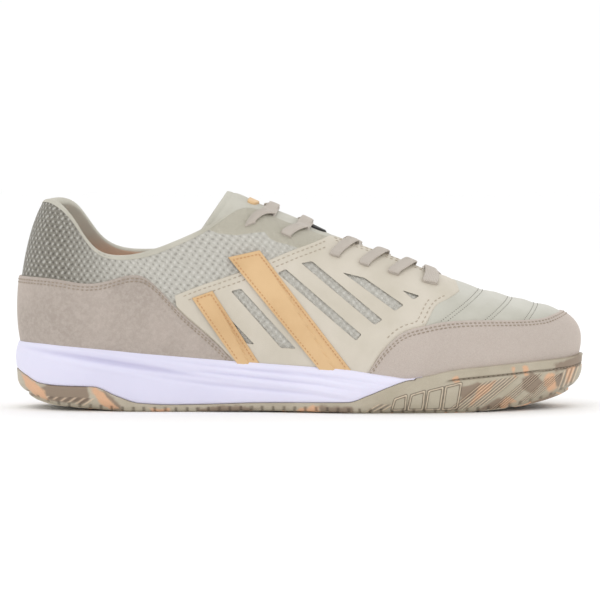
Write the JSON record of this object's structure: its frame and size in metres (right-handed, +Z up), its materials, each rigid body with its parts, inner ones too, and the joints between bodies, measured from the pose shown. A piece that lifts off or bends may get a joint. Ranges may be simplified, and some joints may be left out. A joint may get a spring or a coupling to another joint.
{
  "type": "indoor soccer shoe",
  "caption": "Low indoor soccer shoe on a flat rubber cupsole, with suede toe and heel, windowed side panels, plain straps and laces over a tongue.",
  "frame": {"origin": "on the floor under the middle of the shoe's bounding box", "axes": "+X from heel to toe, +Y to the inner side of the foot (the wearer's left), +Z up"},
  "size_m": [0.2884, 0.0996, 0.1104],
  "materials": {
    "outsole": "matt, marbled olive, brown and orange",
    "midsole": "smooth moulded foam",
    "insole": "brushed fabric on foam",
    "mesh": "knitted, padded round the collar",
    "suede": "suede nap",
    "quarter": "smooth coated, stitched",
    "saddle": "smooth, stitched",
    "tongue": "coated textile",
    "keeper": "woven",
    "lace": "flat woven"
  },
  "bodies": {
    "root": {"outsole": "outsole", "midsole": "midsole", "insole": "insole", "upper": "mesh", "toe_guard": "suede", "heel_counter": "suede", "quarter_outer": "quarter", "quarter_inner": "quarter", "saddle_back_outer": "saddle", "saddle_front_outer": "saddle", "saddle_back_inner": "saddle", "saddle_front_inner": "saddle", "tongue_badge": "saddle", "tongue": "tongue", "lace_keeper": "keeper", "lace_cross_1": "lace", "lace_cross_2": "lace", "lace_cross_3": "lace", "lace_cross_4": "lace", "lace_cross_5": "lace", "lace_bar": "lace"}
  },
  "joints": []
}
